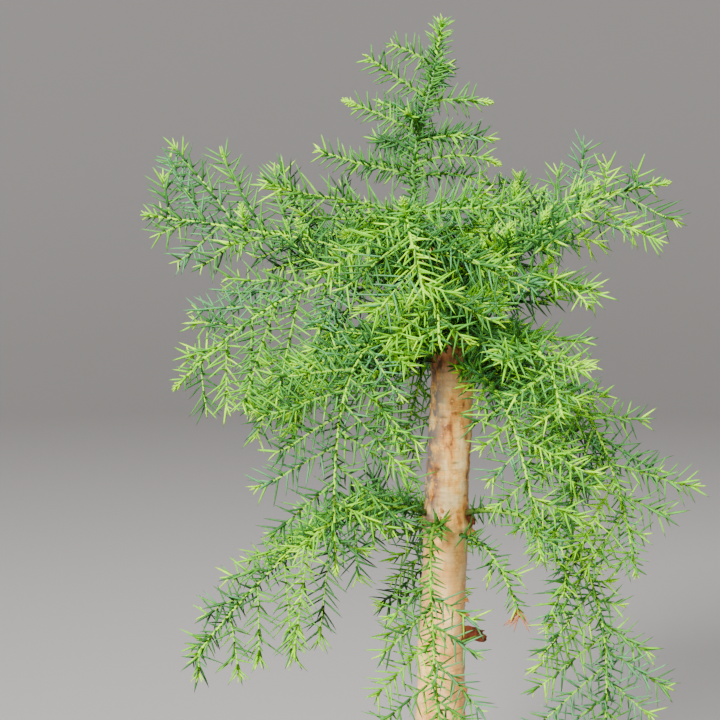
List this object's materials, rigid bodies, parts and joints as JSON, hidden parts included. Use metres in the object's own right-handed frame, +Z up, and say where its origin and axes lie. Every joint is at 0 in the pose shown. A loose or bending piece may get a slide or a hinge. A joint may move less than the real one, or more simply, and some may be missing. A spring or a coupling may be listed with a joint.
{
  "type": "bonsai tree",
  "caption": "Hoop pine bonsai with whorls of weeping boughs and a slim leader, planted in a plain rectangular stoneware pot.",
  "frame": {"origin": "centre of the plant's and pot's foot plan, on the surface the pot's feet stand on", "axes": "+Z up along the trunk, +X to the viewer's right along the pot's long side, +Y away from the viewer"},
  "size_m": [0.3123, 0.2727, 0.5572],
  "materials": {
    "stoneware": "unglazed, matt",
    "soil": "rough grit",
    "bark": "smooth golden bark",
    "bough_bark": "rough brown bark",
    "needles": "satin needles"
  },
  "bodies": {
    "root": {"leader_back": "needles", "leader_back_left": "needles", "leader_back_right": "needles", "leader_left_high": "needles", "leader_left_low": "needles", "leader_left_mid": "needles", "leader_left_top": "needles", "leader_right_low": "needles", "leader_right_mid": "needles", "leader_tip": "needles", "low_back": "needles", "low_back_bough": "bough_bark", "low_front": "needles", "low_front_bough": "bough_bark", "low_left": "needles", "low_left_back": "needles", "low_left_back_bough": "bough_bark", "low_left_bough": "bough_bark", "low_right": "needles", "low_right_bough": "bough_bark", "low_right_inner": "needles", "low_right_inner_bough": "bough_bark", "mid_back": "needles", "mid_back_bough": "bough_bark", "mid_back_left": "needles", "mid_back_left_bough": "bough_bark", "mid_back_right": "needles", "mid_back_right_bough": "bough_bark", "mid_front": "needles", "mid_front_bough": "bough_bark", "mid_front_left": "needles", "mid_front_left_bough": "bough_bark", "mid_front_right": "needles", "mid_front_right_bough": "bough_bark", "mid_left": "needles", "mid_left_bough": "bough_bark", "mid_left_low": "needles", "mid_left_low_bough": "bough_bark", "mid_right": "needles", "mid_right_bough": "bough_bark", "mid_right_high": "needles", "mid_right_high_bough": "bough_bark", "pot": "stoneware", "soil": "soil", "top_back": "needles", "top_back_bough": "bough_bark", "top_back_left": "needles", "top_back_left_bough": "bough_bark", "top_back_right": "needles", "top_back_right_bough": "bough_bark", "top_front": "needles", "top_front_bough": "bough_bark", "top_left": "needles", "top_left_bough": "bough_bark", "top_right": "needles", "top_right_bough": "bough_bark", "top_right_front": "needles", "top_right_front_bough": "bough_bark", "top_right_low": "needles", "trunk": "bark"}
  },
  "joints": []
}
